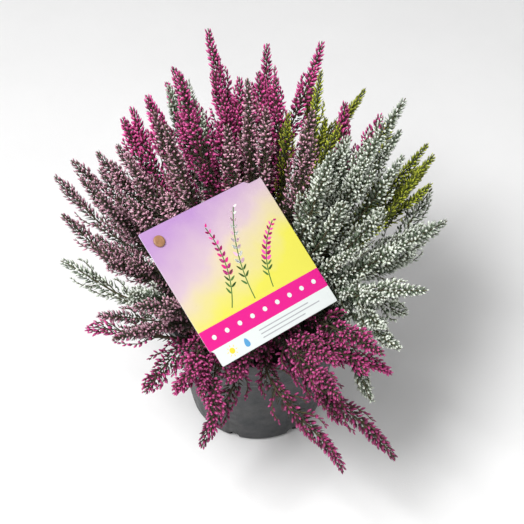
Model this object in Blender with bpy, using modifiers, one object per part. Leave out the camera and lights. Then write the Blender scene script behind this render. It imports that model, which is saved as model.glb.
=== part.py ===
"""A pot of mixed heather in flower, in a plastic nursery pot with a square plant label on a stick.

Units are metres and +Z is up. The origin is the middle of the pot's underside, where the pot stands.
Every spike of flowers follows one flow of lines that leaves the soil and opens outwards, so no two
of them cross. A spray is one stem from the soil with the side spikes that grow from it. Low sprays
make a skirt over the pot's rim at the front.
"""

import itertools
import math
import random

import bmesh
import bpy
import numpy as np
from mathutils import Matrix, Vector

# Pot
POT_HEIGHT = 0.092
POT_BASE_RADIUS = 0.0435
POT_TOP_RADIUS = 0.0585
POT_WALL = 0.0015
POT_FLOOR = 0.0018
POT_EDGE = 0.002
LIP_RADIUS = 0.0600
LIP_DEPTH = 0.008
SHOULDER_HEIGHT = 0.066
SHOULDER_STEP = 0.0010
SHOULDER_RISE = 0.0015
TURNED_STEPS = 28
DRAIN_HOLES = 7
DRAIN_RADIUS = 0.0035
DRAIN_CENTRE = 0.0025
DRAIN_REACH = (0.036, 0.052)

# Soil
GAP = 0.0003
SOIL_EDGE_HEIGHT = 0.079
SOIL_MOUND = 0.003

# Plant
SPIKES = 152
SPIKES_A_SPRAY = 4
GOLDEN_ANGLE = math.radians(137.508)
SOIL_SPREAD = 0.038
ROOT_DEPTH = 0.009
STRAIGHT = 0.004
BEND_LENGTH = 0.050
FIRST_LEAN = 0.25
MOST_LEAN = math.radians(47)
LIFT = math.radians(15)
DROOP_LEAN = math.radians(30)
SAG = math.radians(26)
CROWDING = 0.30
CENTRE_LENGTH = 0.166
EDGE_LENGTH = 0.134
DROOP_LENGTH = 0.014
LENGTH_JITTER = 0.016
SIDE_LENGTH = 0.87
SIDE_FORK = 0.038
SIDE_BLEND = 0.027
SIDE_FLORETS = 0.062
MAIN_FLORETS = 0.042
PATH_STEP = 0.0025
LEAST_SPIKE = 0.030
SWAY = math.radians(16)
LEAN_JITTER = math.radians(7)
SKIRT_SPIKES = 32
SKIRT_CENTRE = math.radians(-50)
SKIRT_WIDTH = math.radians(190)
SKIRT_RHO = (1.05, 1.15)
SKIRT_LEAN = math.radians(12)
SKIRT_SAG = math.radians(16)
SKIRT_SHORTER = 0.030
SHORTER = (1.0, 0.92, 0.84, 0.76, 0.68, 0.60)
SLIMMER = (1.0, 0.86, 0.72)
LEANED = (0.0, 7.0, 14.0)
TURNED = (0.0, 3.0, -3.0, 6.0, -6.0, 10.0, -10.0, 14.0, -14.0)
SEED = 36

# Stems and florets
SIDES = 6
TWIG_SIDES = 4
STEM_RADIUS = 0.0016
TWIG_RADIUS = 0.0011
LEAF_RADIUS = 0.0046
BARE_STEM = 0.002
LEAF_START = 0.012
LEAF_PITCH = 0.0180
FLORET_PITCH = 0.0166
FLORET_RISE = 0.0056
FLORET_HOLLOW = 0.56
TIP_RADIUS = 0.0005
HOLE_RADIUS = 0.0023

# The way the front of the planting faces, and the label as it lies on the sprays
FRONT = math.radians(-57)
DROOP_CENTRE = math.radians(-44)
DROOP_WIDTH = math.radians(88)
VIEW_AZIMUTH = math.radians(33)
VIEW_ELEVATION = math.radians(45)
CARD_SIDE = 0.085
CARD_THICKNESS = 0.0008
CARD_OFFSET = (-0.009, 0.016, 0.098)
CARD_ALONG = (0.764, 0.415, -0.490)
CARD_DOWN = (0.525, -0.845, 0.102)
NOTCH = (0.011, 0.0022)
PEG_INSET = 0.0085
PEG_SIDES = 10
PEG_RADIUS = 0.0020
PEG_HEAD_RADIUS = 0.0034
PEG_HEAD_HEIGHT = 0.0012
PAD_RADIUS = 0.0042
PAD_THICKNESS = 0.0016
STICK_WIDTH = 0.005
STICK_THICKNESS = 0.0016
STICK_FOOT = (-0.008, -0.029)
STICK_DEPTH = 0.026
LABEL_SPOTS = 28
STICK_SPOTS = 60
CLEAR_OF_CARD = 0.0024
CLEAR_OF_STICK = 0.0040
CLEAR_OF_SPRAY = 0.0006

# Colour, roughness and metallic value of each material
FINISH = {
    "pot": ((0.035, 0.037, 0.040), 0.45, 0.0),
    "soil": ((0.045, 0.028, 0.018), 0.95, 0.0),
    "label_card": ((0.80, 0.62, 0.45), 0.35, 0.0),
    "label_stick": ((0.38, 0.24, 0.12), 0.55, 0.0),
    "magenta": ((0.36, 0.03, 0.17), 0.70, 0.0),
    "mauve": ((0.42, 0.25, 0.31), 0.75, 0.0),
    "silver": ((0.52, 0.57, 0.50), 0.80, 0.0),
    "lime": ((0.42, 0.46, 0.06), 0.75, 0.0),
}
GIRTH = {"magenta": 0.0090, "mauve": 0.0082, "silver": 0.0094, "lime": 0.0064}
SIDE_GIRTH = 0.86


def clear_scene():
    for obj in list(bpy.data.objects):
        bpy.data.objects.remove(obj)


def new_collection(name, rendered=True):
    collection = bpy.data.collections.new(name)
    collection.hide_render = not rendered
    bpy.context.scene.collection.children.link(collection)
    return collection


def new_material(name, finish):
    colour, roughness, metallic = FINISH[finish]
    material = bpy.data.materials.new(name)
    material.use_nodes = True
    shader = material.node_tree.nodes["Principled BSDF"]
    shader.inputs["Base Color"].default_value = (*colour, 1.0)
    shader.inputs["Roughness"].default_value = roughness
    shader.inputs["Metallic"].default_value = metallic
    material.diffuse_color = (*colour, 1.0)
    return material


def place(obj, collection, finish):
    """Puts a new object in its collection, with a material of its own."""
    for other in list(obj.users_collection):
        other.objects.unlink(obj)
    collection.objects.link(obj)
    if finish:
        obj.data.materials.clear()
        obj.data.materials.append(new_material(obj.name, finish))
    return obj


def as_cutter(obj):
    obj.hide_render = True
    obj.display_type = "WIRE"
    return obj


# Layout of the planting: these functions have no Blender objects in them


def smooth(x):
    x = min(max(x, 0.0), 1.0)
    return x * x * (3.0 - 2.0 * x)


def facing(azimuth, centre, width):
    """1 where azimuth points at centre, falling smoothly to 0 at width on either side."""
    turn = (azimuth - centre + math.pi) % math.tau - math.pi
    return smooth(1.0 - abs(turn) / width)


def soil_height(radius):
    return SOIL_EDGE_HEIGHT + SOIL_MOUND * (1.0 - (radius / POT_TOP_RADIUS) ** 2)


def flow_line(rho, azimuth, length, leaned=0.0, sway=0.0):
    """Centre line of a spike from ROOT_DEPTH under the soil to its tip, one row of x, y, z a step.

    rho is 0 at the middle of the pot, 1 at its outer sprays and more on the low skirt at the front.
    sway is the angle about the pot's axis by which the tip turns aside.
    """
    droop = facing(azimuth, DROOP_CENTRE, DROOP_WIDTH) * smooth((rho - 0.50) / 0.4)
    skirt = smooth((rho - 1.0) / (SKIRT_RHO[1] - 1.0)) * facing(azimuth, SKIRT_CENTRE, SKIRT_WIDTH / 2)
    hanging = max(droop, skirt)
    lean = MOST_LEAN * min(rho, 1.0) ** 0.95 + DROOP_LEAN * hanging + SKIRT_LEAN * skirt + leaned
    tip_lean = lean - LIFT * rho * (1.0 - hanging) + SAG * droop + SKIRT_SAG * skirt
    radius = SOIL_SPREAD * rho
    height = soil_height(radius)
    start = -ROOT_DEPTH
    radius += start * math.sin(FIRST_LEAN * lean)
    height += start * math.cos(FIRST_LEAN * lean)
    line = [(radius, height, 0.0)]
    steps = round((length + ROOT_DEPTH) / PATH_STEP)
    for step in range(steps):
        along = start + (step + 0.5) * PATH_STEP
        bend = smooth((along - STRAIGHT) / BEND_LENGTH)
        lift = smooth((along - BEND_LENGTH) / (length - BEND_LENGTH))
        angle = lean * (FIRST_LEAN + (1.0 - FIRST_LEAN) * bend) + (tip_lean - lean) * lift
        radius += PATH_STEP * math.sin(angle)
        height += PATH_STEP * math.cos(angle)
        line.append((radius, height, sway * lift))
    return np.array([(r * math.cos(azimuth + turn), r * math.sin(azimuth + turn), z) for r, z, turn in line])


def spike_length(rho, azimuth, draw):
    droop = facing(azimuth, DROOP_CENTRE, DROOP_WIDTH) * rho
    length = CENTRE_LENGTH + (EDGE_LENGTH - CENTRE_LENGTH) * rho - DROOP_LENGTH * droop
    if rho > 1.0:
        length -= SKIRT_SHORTER
    return length + draw.uniform(-LENGTH_JITTER, LENGTH_JITTER)


def own_bend(draw):
    """A spike's own lean and sway, by which it differs from its neighbours."""
    return draw.uniform(-LEAN_JITTER, LEAN_JITTER), draw.uniform(-SWAY, SWAY)


def along_line(line):
    """Distance of each point of a line from the soil."""
    return np.arange(len(line)) * PATH_STEP - ROOT_DEPTH


def spike_radius(along, length, florets, girth):
    """Outer radius of a spike at a distance from the soil: stem, leaves, then florets to a slim tip."""
    if along < LEAF_START:
        return STEM_RADIUS
    if along < florets:
        return LEAF_RADIUS
    part = min((along - florets) / max(length - florets, PATH_STEP), 1.0)
    swell = 0.60 + 0.40 * smooth(part / 0.28)
    taper = 1.0 - 0.70 * part**3.4
    return max(girth * swell * taper, TIP_RADIUS)


def colour_of(rho, azimuth, draw):
    """Colour of a spray by where it stands: each side of the pot has one that prevails."""
    turn = math.degrees((azimuth - FRONT + math.pi) % math.tau - math.pi)
    if rho < 0.34:
        return draw.choice(["silver", "magenta", "mauve", "magenta"])
    if -38.0 < turn <= 38.0:
        return "magenta"
    if 38.0 < turn <= 74.0:
        return "silver"
    if 74.0 < turn <= 108.0:
        return draw.choice(["silver", "lime", "silver"])
    if 108.0 < turn <= 150.0:
        return draw.choice(["magenta", "lime", "magenta", "silver"])
    if turn > 150.0 or turn <= -158.0:
        return draw.choice(["magenta", "silver", "magenta"])
    if turn <= -112.0:
        return draw.choice(["silver", "lime", "magenta", "silver"])
    return "mauve" if draw.random() < 0.85 else "silver"


def view_axes():
    """Right, up and towards-the-viewer directions of the view that the label is turned to."""
    turn, rise = VIEW_AZIMUTH, VIEW_ELEVATION
    right = Vector((math.cos(turn), math.sin(turn), 0.0))
    near = Vector((math.sin(turn) * math.cos(rise), -math.cos(turn) * math.cos(rise), math.sin(rise)))
    return right, near.cross(right), near


def in_view(parts):
    right, up, near = view_axes()
    return parts[0] * right + parts[1] * up + parts[2] * near


def card_frame():
    """Centre of the label card and its unit directions: along one edge, down the next, and its face."""
    centre = Vector((0.0, 0.0, POT_HEIGHT)) + in_view(CARD_OFFSET)
    along = in_view(CARD_ALONG).normalized()
    face = in_view(CARD_DOWN).cross(along).normalized()
    down = along.cross(face).normalized()
    return centre, along, down, face


def peg_point():
    """Middle of the card's hole, near the corner where the stick holds it."""
    centre, along, down, _ = card_frame()
    half = CARD_SIDE / 2 - PEG_INSET
    return centre - half * along - half * down


def stick_ends():
    """Foot of the stick in the soil and its head under the card."""
    head = peg_point() - (CARD_THICKNESS / 2 + GAP + PAD_THICKNESS) * card_frame()[3]
    foot = Vector((*STICK_FOOT, soil_height(Vector(STICK_FOOT).length)))
    return foot + (foot - head).normalized() * STICK_DEPTH, head


def label_points():
    """Points over the card and along its stick, and how near the surface of a spike may come to each."""
    centre, along, down, _ = card_frame()
    foot, head = stick_ends()
    spots = [CARD_SIDE * (number / LABEL_SPOTS - 0.5) for number in range(LABEL_SPOTS + 1)]
    card = [centre + a * along + b * down for a in spots for b in spots]
    stick = [foot.lerp(head, number / STICK_SPOTS) for number in range(STICK_SPOTS + 1)]
    keep = [CLEAR_OF_CARD] * len(card) + [CLEAR_OF_STICK] * len(stick)
    return np.array([tuple(point) for point in card + stick]), np.array(keep)


def gap_between(line, radii, points, radius):
    """Least clear distance between balls along a line, at every second step, and balls at other points."""
    if not len(points):
        return math.inf
    line, radii = line[::2], radii[::2]
    squares = (line**2).sum(1)[:, None] + (points**2).sum(1) - 2.0 * line @ points.T
    apart = np.sqrt(np.maximum(squares, 0.0))
    return float((apart - radii[:, None] - radius).min())


def spike_line(rho, azimuth, length, leaned, sway, stem):
    """A spike's centre line, or a side spike's, which leaves the stem's line for its own."""
    line = flow_line(rho, azimuth, length, leaned, sway)
    if stem is None:
        return line
    stem = stem[: len(line)]
    line = line[: len(stem)]
    away = np.array([smooth((s - SIDE_FORK) / SIDE_BLEND) for s in along_line(line)])[:, None]
    line = stem + (line - stem) * away
    return line[along_line(line) >= SIDE_FORK]


def radii_of(line, first, florets, girth):
    length = first + (len(line) - 1) * PATH_STEP
    return np.array([spike_radius(first + i * PATH_STEP, length, florets, girth) for i in range(len(line))])


def first_clear(rho, azimuth, length, own, stem, girth, others):
    """The first spike that is clear of all that is placed, out of a few that differ a little.

    own is the spike's own lean and sway, and stem is the line that it leaves if it is a side spike.
    """
    florets = MAIN_FLORETS if stem is None else SIDE_FLORETS
    first = -ROOT_DEPTH if stem is None else SIDE_FORK
    lean, sway = own
    for shorter, slimmer, leaned, turn in itertools.product(SHORTER, SLIMMER, LEANED, TURNED):
        turned_to = azimuth + math.radians(turn)
        line = spike_line(rho, turned_to, length * shorter, lean + math.radians(leaned), sway, stem)
        if first + len(line) * PATH_STEP < florets + LEAST_SPIKE:
            continue
        radii = radii_of(line, first, florets, girth * slimmer)
        if all(gap_between(line, radii, *other) > 0.0 for other in others):
            return {"line": line, "radii": radii, "girth": girth * slimmer}
    return None


def spike_spots():
    """Where spikes stand, as rho, azimuth, x and y: the low skirt at the front, then the whole pot."""
    spots = []
    for number in range(SKIRT_SPIKES):
        azimuth = SKIRT_CENTRE + SKIRT_WIDTH * ((number + 0.5) / SKIRT_SPIKES - 0.5)
        spots.append((SKIRT_RHO[number % 2], azimuth))
    for number in range(SPIKES):
        rho = math.sqrt((number + 0.5) / SPIKES)
        azimuth = number * GOLDEN_ANGLE % math.tau
        spots.append((rho, azimuth - CROWDING * rho * math.sin(azimuth - FRONT)))
    return [(rho, azimuth, rho * math.cos(azimuth), rho * math.sin(azimuth)) for rho, azimuth in spots]


def planting():
    """Every spray, as its colour and its spikes, each a centre line with its outer radii."""
    draw = random.Random(SEED)
    spots = spike_spots()
    stems = spots[1::SPIKES_A_SPRAY]
    sides = [spot for number, spot in enumerate(spots) if number % SPIKES_A_SPRAY != 1]
    sprays = []
    for rho, azimuth, x, y in stems:
        colour = colour_of(rho, azimuth, draw)
        length = spike_length(rho, azimuth, draw)
        sprays.append({"colour": colour, "spot": (rho, azimuth, x, y), "length": length, "spikes": []})
    label = label_points()
    for spray in sprays:
        rho, azimuth, _, _ = spray["spot"]
        girth = GIRTH[spray["colour"]]
        others = (label, placed(sprays))
        found = first_clear(rho, azimuth, spray["length"], own_bend(draw), None, girth, others)
        if found:
            spray["spikes"].append(found)
    sprays = [spray for spray in sprays if spray["spikes"]]
    for rho, azimuth, x, y in sides:
        spray = min(sprays, key=lambda s: (s["spot"][2] - x) ** 2 + (s["spot"][3] - y) ** 2)
        length = SIDE_LENGTH * spike_length(rho, azimuth, draw)
        others = (label, placed(other for other in sprays if other is not spray))
        stem = spray["spikes"][0]["line"]
        girth = SIDE_GIRTH * GIRTH[spray["colour"]]
        found = first_clear(rho, azimuth, length, own_bend(draw), stem, girth, others)
        if found:
            spray["spikes"].append(found)
    for colour in GIRTH:
        members = [spray for spray in sprays if spray["colour"] == colour]
        for number, spray in enumerate(members, start=1):
            spray["name"] = f"{colour}_spray_{number:02d}"
    return sprays


def placed(sprays):
    """Points of every spike that some sprays have so far, and how near another's surface may come."""
    spikes = [spike for spray in sprays for spike in spray["spikes"]]
    if not spikes:
        return np.empty((0, 3)), np.empty(0)
    points = np.concatenate([spike["line"][::2] for spike in spikes])
    return points, np.concatenate([spike["radii"][::2] for spike in spikes]) + CLEAR_OF_SPRAY


# Solids


def turned(name, outline, collection, finish):
    """A profile of (radius, height) points turned round the Z axis."""
    mesh = bpy.data.meshes.new(name)
    points = [(radius, 0.0, height) for radius, height in outline]
    mesh.from_pydata(points, [(i, i + 1) for i in range(len(points) - 1)], [])
    obj = place(bpy.data.objects.new(name, mesh), collection, finish)
    screw = obj.modifiers.new("Turn", "SCREW")
    screw.steps = TURNED_STEPS
    screw.render_steps = TURNED_STEPS
    screw.use_merge_vertices = True
    screw.merge_threshold = 0.0001
    screw.use_smooth_shade = True
    return obj


def wall_radius(height):
    """Outside of the pot's tapered wall, which steps in below its shoulder."""
    taper = POT_BASE_RADIUS + (POT_TOP_RADIUS - POT_BASE_RADIUS) * height / POT_HEIGHT
    return taper - SHOULDER_STEP * (1.0 - smooth((height - SHOULDER_HEIGHT) / SHOULDER_RISE))


def pot_inside(gap):
    """The hollow of the pot from the middle of its floor up, drawn in by a gap."""
    above = SHOULDER_HEIGHT + SHOULDER_RISE
    inset = POT_WALL + gap
    return [
        (0.0, POT_FLOOR + gap),
        (wall_radius(0.0) - inset - POT_EDGE, POT_FLOOR + gap),
        (wall_radius(POT_EDGE) - inset, POT_FLOOR + POT_EDGE + gap),
        (wall_radius(SHOULDER_HEIGHT) - inset, SHOULDER_HEIGHT),
        (wall_radius(above) - inset, above),
    ]


def build_pot(collection, cutters):
    under_lip = POT_HEIGHT - LIP_DEPTH
    above = SHOULDER_HEIGHT + SHOULDER_RISE
    outline = pot_inside(0.0)
    outline.append((wall_radius(POT_HEIGHT) - POT_WALL, POT_HEIGHT))
    outline.append((LIP_RADIUS - 0.0006, POT_HEIGHT))
    outline.append((LIP_RADIUS, POT_HEIGHT - 0.0010))
    outline.append((LIP_RADIUS, under_lip))
    outline.append((wall_radius(under_lip), under_lip))
    outline.append((wall_radius(above), above))
    outline.append((wall_radius(SHOULDER_HEIGHT), SHOULDER_HEIGHT))
    outline.append((wall_radius(POT_EDGE), POT_EDGE))
    outline.append((wall_radius(0.0) - POT_EDGE, 0.0))
    outline.append((0.0, 0.0))
    pot = turned("pot", outline, collection, "pot")
    for number in range(DRAIN_HOLES):
        angle = math.tau * (number + 0.5) / DRAIN_HOLES
        middle = sum(DRAIN_REACH) / 2
        bpy.ops.mesh.primitive_cylinder_add(
            vertices=SIDES,
            radius=DRAIN_RADIUS,
            depth=DRAIN_REACH[1] - DRAIN_REACH[0],
            location=(middle * math.cos(angle), middle * math.sin(angle), DRAIN_CENTRE),
            rotation=(0.0, math.pi / 2, angle),
        )
        cutter = bpy.context.object
        cutter.name = f"drain_cutter_{number:02d}"
        place(as_cutter(cutter), cutters, None)
        cut = pot.modifiers.new(cutter.name, "BOOLEAN")
        cut.operation = "DIFFERENCE"
        cut.object = cutter
    return pot


def hole_cutter(name, start, end, width, thickness, cutters):
    """A cutter from start to end: round for a stem, or flat for the stick if it has a thickness."""
    middle, way = (start + end) / 2, end - start
    turn = way.to_track_quat("Z", "Y").to_matrix().to_4x4()
    if thickness:
        bpy.ops.mesh.primitive_cube_add(size=1.0)
        cutter = bpy.context.object
        cutter.data.transform(Matrix.Diagonal((width, thickness, way.length, 1.0)))
    else:
        bpy.ops.mesh.primitive_cylinder_add(vertices=SIDES, radius=width, depth=way.length)
        cutter = bpy.context.object
    cutter.name = name
    cutter.matrix_world = Matrix.Translation(middle) @ turn
    return place(as_cutter(cutter), cutters, None)


def build_soil(sprays, collection, holes):
    rim = wall_radius(SOIL_EDGE_HEIGHT) - POT_WALL - GAP
    outline = [(0.0, soil_height(0.0))]
    outline += [(radius, soil_height(radius)) for radius in (0.022, 0.043)]
    outline.append((rim, soil_height(rim)))
    outline += reversed(pot_inside(GAP))
    soil = turned("soil", outline, collection, "soil")
    for spray in sprays:
        line = spray["spikes"][0]["line"]
        way = Vector(line[1] - line[0]).normalized()
        start = Vector(line[0]) - way * GAP
        hole_cutter(spray["name"] + "_hole", start, start + way * 0.020, HOLE_RADIUS, 0.0, holes)
    foot, head = stick_ends()
    way = (head - foot).normalized()
    bottom = foot - way * GAP
    top = bottom + way * (STICK_DEPTH + 0.012)
    hole_cutter("stick_hole", bottom, top, STICK_WIDTH + 2 * GAP, STICK_THICKNESS + 2 * GAP, holes)
    cut = soil.modifiers.new("Stem holes", "BOOLEAN")
    cut.operation = "DIFFERENCE"
    cut.operand_type = "COLLECTION"
    cut.collection = holes
    return soil


def ring_stops(first, florets, length):
    """Distances along a spike where its tube has a ring: few on the stem, one for each row of florets."""
    stops = [first, BARE_STEM] if first < 0.0 else [first]
    leaves = LEAF_START if first < 0.0 else first + LEAF_PITCH
    stops += list(np.arange(leaves, florets - LEAF_PITCH / 2, LEAF_PITCH))
    rows = max(round((length - florets) / FLORET_PITCH), 3)
    stops += list(np.linspace(florets, length, rows + 1))
    return stops


def spike_mesh(name, spike, first, florets, stem_radius, sides):
    """A tube along a spike's line, with its corners pushed out and up in turn as leaves and florets."""
    line = spike["line"]
    length = first + (len(line) - 1) * PATH_STEP
    stops = ring_stops(first, florets, length)
    curve = bpy.data.curves.new(name, "CURVE")
    curve.dimensions = "3D"
    curve.bevel_depth = 1.0
    curve.bevel_resolution = sides // 2 - 2
    curve.use_fill_caps = True
    spline = curve.splines.new("POLY")
    spline.points.add(len(stops) - 1)
    centres = []
    for point, stop in zip(spline.points, stops):
        spot = (stop - first) / PATH_STEP
        low = min(int(spot), len(line) - 2)
        centre = line[low] + (line[low + 1] - line[low]) * (spot - low)
        centres.append(Vector(centre))
        point.co = (*centre, 1.0)
        point.radius = stem_radius if stop < length else TIP_RADIUS
    guide = bpy.data.objects.new(name, curve)
    bpy.context.scene.collection.objects.link(guide)
    graph = bpy.context.evaluated_depsgraph_get()
    mesh = bpy.data.meshes.new_from_object(guide.evaluated_get(graph))
    bpy.data.objects.remove(guide)
    bpy.data.curves.remove(curve)
    push_out(mesh, stops, centres, florets, length, spike["girth"], stem_radius, sides)
    work = bmesh.new()
    work.from_mesh(mesh)
    bmesh.ops.remove_doubles(work, verts=work.verts, dist=0.00001)
    bmesh.ops.triangulate(work, faces=work.faces)
    bmesh.ops.recalc_face_normals(work, faces=work.faces)
    work.to_mesh(mesh)
    work.free()
    return mesh


def push_out(mesh, stops, centres, florets, length, girth, stem_radius, sides):
    """Moves the corners of each ring, every second one outwards and towards the tip, in a stagger."""
    caps = 2 * sides
    for vertex in list(mesh.vertices)[caps:]:
        ring, side = divmod(vertex.index - caps, sides)
        stop = stops[ring]
        if ring in (0, len(stops) - 1) or stop < LEAF_START:
            continue
        outer = spike_radius(stop, length, florets, girth)
        leafy = stop < florets
        inner = stem_radius if leafy else max(FLORET_HOLLOW * outer, TIP_RADIUS)
        stands_out = (ring + side) % 2 == 0
        away = (vertex.co - centres[ring]).normalized()
        ahead = (centres[ring + 1] - centres[ring - 1]).normalized()
        radius = outer if stands_out else inner
        rise = FLORET_RISE * min(outer / girth, 1.0) if stands_out else 0.0
        vertex.co = centres[ring] + away * radius + ahead * rise


def keep_one_body(mesh):
    """Fills what the union sealed off inside, and drops loose scraps: only the largest shell stays."""
    work = bmesh.new()
    work.from_mesh(mesh)
    shells, seen = [], set()
    for face in work.faces:
        if face in seen:
            continue
        shell, edge_of_shell = {face}, [face]
        while edge_of_shell:
            here = edge_of_shell.pop()
            near = {other for edge in here.edges for other in edge.link_faces} - shell
            shell |= near
            edge_of_shell += near
        seen |= shell
        shells.append(shell)
    largest = max(shells, key=len)
    spare = [face for face in work.faces if face not in largest]
    if spare:
        bmesh.ops.delete(work, geom=spare, context="FACES")
        work.to_mesh(mesh)
    work.free()


def build_spray(spray, collection):
    """One node: the stem's spike with its side spikes joined to it by a Boolean union."""
    main = spray["spikes"][0]
    mesh = spike_mesh(spray["name"], main, -ROOT_DEPTH, MAIN_FLORETS, STEM_RADIUS, SIDES)
    stem = bpy.data.objects.new(spray["name"] + "_stem", mesh)
    bpy.context.scene.collection.objects.link(stem)
    twigs = bpy.data.collections.new(spray["name"] + "_twigs")
    bpy.context.scene.collection.children.link(twigs)
    for spike in spray["spikes"][1:]:
        mesh = spike_mesh("twig", spike, SIDE_FORK, SIDE_FLORETS, TWIG_RADIUS, TWIG_SIDES)
        twigs.objects.link(bpy.data.objects.new("twig", mesh))
    if twigs.objects:
        union = stem.modifiers.new("Join", "BOOLEAN")
        union.operation = "UNION"
        union.operand_type = "COLLECTION"
        union.collection = twigs
        union.solver = "EXACT"
    graph = bpy.context.evaluated_depsgraph_get()
    joined = bpy.data.meshes.new_from_object(stem.evaluated_get(graph))
    joined.name = spray["name"]
    keep_one_body(joined)
    for obj in [stem, *twigs.objects]:
        bpy.data.objects.remove(obj)
    bpy.data.collections.remove(twigs)
    return place(bpy.data.objects.new(spray["name"], joined), collection, spray["colour"])


def card_outline():
    """Corners of the label round from the held one, with a small step at the two beside it."""
    half = CARD_SIDE / 2
    wide, deep = NOTCH
    return [
        (-half, -half),
        (half - wide, -half),
        (half - wide + deep, -half + deep),
        (half, -half + deep),
        (half, half),
        (-half + deep, half),
        (-half + deep, half - wide + deep),
        (-half, half - wide),
    ]


def build_card(collection, cutters):
    centre, along, down, face = card_frame()
    curve = bpy.data.curves.new("label_card", "CURVE")
    curve.dimensions = "2D"
    curve.fill_mode = "BOTH"
    curve.extrude = CARD_THICKNESS / 2
    spline = curve.splines.new("POLY")
    corners = card_outline()
    spline.points.add(len(corners) - 1)
    for point, (x, y) in zip(spline.points, corners):
        point.co = (x, y, 0.0, 1.0)
    spline.use_cyclic_u = True
    guide = bpy.data.objects.new("card_guide", curve)
    bpy.context.scene.collection.objects.link(guide)
    graph = bpy.context.evaluated_depsgraph_get()
    mesh = bpy.data.meshes.new_from_object(guide.evaluated_get(graph))
    bpy.data.objects.remove(guide)
    work = bmesh.new()
    work.from_mesh(mesh)
    bmesh.ops.remove_doubles(work, verts=work.verts, dist=0.00001)
    bmesh.ops.recalc_face_normals(work, faces=work.faces)
    work.to_mesh(mesh)
    work.free()
    card = place(bpy.data.objects.new("label_card", mesh), collection, "label_card")
    turn = Matrix((along, down, along.cross(down))).transposed().to_4x4()
    card.matrix_world = Matrix.Translation(centre) @ turn
    peg = peg_point()
    cutter = hole_cutter("card_hole", peg - face * 0.004, peg + face * 0.004, PEG_RADIUS + 0.0004, 0.0, cutters)
    cut = card.modifiers.new("Peg hole", "BOOLEAN")
    cut.operation = "DIFFERENCE"
    cut.object = cutter
    return card


def build_stick(collection):
    """A flat stick with a round pad under the card, and a peg and its head through the card's hole."""
    foot, head = stick_ends()
    face = card_frame()[3]
    way = head - foot
    turn = way.to_track_quat("Z", "Y").to_matrix().to_4x4()
    bpy.ops.mesh.primitive_cube_add(size=1.0)
    stick = bpy.context.object
    stick.name = "label_stick"
    stick.data.transform(Matrix.Diagonal((STICK_WIDTH, STICK_THICKNESS, way.length, 1.0)))
    stick.data.transform(Matrix.Translation((foot + head) / 2) @ turn)
    rounds = bpy.data.collections.new("stick_rounds")
    bpy.context.scene.collection.children.link(rounds)
    lean = face.to_track_quat("Z", "Y").to_matrix().to_4x4()
    peg_length = CARD_THICKNESS + 2 * GAP
    levels = [
        (PAD_RADIUS, PAD_THICKNESS, PAD_THICKNESS / 2),
        (PEG_RADIUS - GAP, peg_length + PAD_THICKNESS, PAD_THICKNESS + peg_length / 2),
        (PEG_HEAD_RADIUS, PEG_HEAD_HEIGHT, PAD_THICKNESS + peg_length + PEG_HEAD_HEIGHT / 2),
    ]
    for radius, depth, level in levels:
        bpy.ops.mesh.primitive_cylinder_add(vertices=PEG_SIDES, radius=radius, depth=depth)
        disc = bpy.context.object
        disc.matrix_world = Matrix.Translation(head + face * level) @ lean
        place(disc, rounds, None)
    join = stick.modifiers.new("Join", "BOOLEAN")
    join.operation = "UNION"
    join.operand_type = "COLLECTION"
    join.collection = rounds
    place(stick, collection, "label_stick")
    graph = bpy.context.evaluated_depsgraph_get()
    joined = bpy.data.meshes.new_from_object(stick.evaluated_get(graph))
    stick.modifiers.clear()
    stick.data = joined
    for disc in list(rounds.objects):
        bpy.data.objects.remove(disc)
    bpy.data.collections.remove(rounds)
    return stick


def main():
    clear_scene()
    heather = new_collection("potted_heather")
    cutters = new_collection("cutters", rendered=False)
    holes = new_collection("stem_holes", rendered=False)
    sprays = planting()
    for spray in sprays:
        build_spray(spray, heather)
    build_pot(heather, cutters)
    build_soil(sprays, heather, holes)
    build_card(heather, cutters)
    build_stick(heather)


main()
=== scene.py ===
"""The looks of a pot of mixed heather in flower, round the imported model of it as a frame.

Units are metres and +Z is up. The first half repeats the layout of the planting, so every piece grows
along the same lines as the solid that it replaces. The second half dresses those lines: stems, leaves,
short side shoots and flower buds, then the pot, the soil, the label and its stick, and last the stage.
"""

import itertools
import math
import random

import bmesh
import bpy
import numpy as np
from mathutils import Matrix, Vector


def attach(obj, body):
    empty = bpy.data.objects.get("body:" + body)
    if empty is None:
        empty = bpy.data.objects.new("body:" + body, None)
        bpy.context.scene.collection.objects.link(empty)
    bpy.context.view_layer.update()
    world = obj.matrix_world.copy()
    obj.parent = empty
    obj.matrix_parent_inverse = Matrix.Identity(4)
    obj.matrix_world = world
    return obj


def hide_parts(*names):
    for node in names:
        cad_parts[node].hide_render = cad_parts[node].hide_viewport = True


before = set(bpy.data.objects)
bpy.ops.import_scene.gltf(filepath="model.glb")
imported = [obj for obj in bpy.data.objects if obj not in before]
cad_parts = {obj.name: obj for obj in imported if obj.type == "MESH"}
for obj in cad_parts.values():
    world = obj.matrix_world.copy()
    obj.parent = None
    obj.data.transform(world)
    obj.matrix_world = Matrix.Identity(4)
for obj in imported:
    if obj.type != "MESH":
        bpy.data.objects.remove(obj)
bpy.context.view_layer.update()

# Pot
POT_HEIGHT = 0.092
POT_BASE_RADIUS = 0.0435
POT_TOP_RADIUS = 0.0585
POT_WALL = 0.0015
POT_FLOOR = 0.0018
POT_EDGE = 0.002
LIP_RADIUS = 0.0600
LIP_DEPTH = 0.008
SHOULDER_HEIGHT = 0.066
SHOULDER_STEP = 0.0010
SHOULDER_RISE = 0.0015
DRAIN_HOLES = 7
DRAIN_RADIUS = 0.0035
DRAIN_CENTRE = 0.0025
DRAIN_REACH = (0.036, 0.052)

# Soil
GAP = 0.0003
SOIL_EDGE_HEIGHT = 0.079
SOIL_MOUND = 0.003

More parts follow.
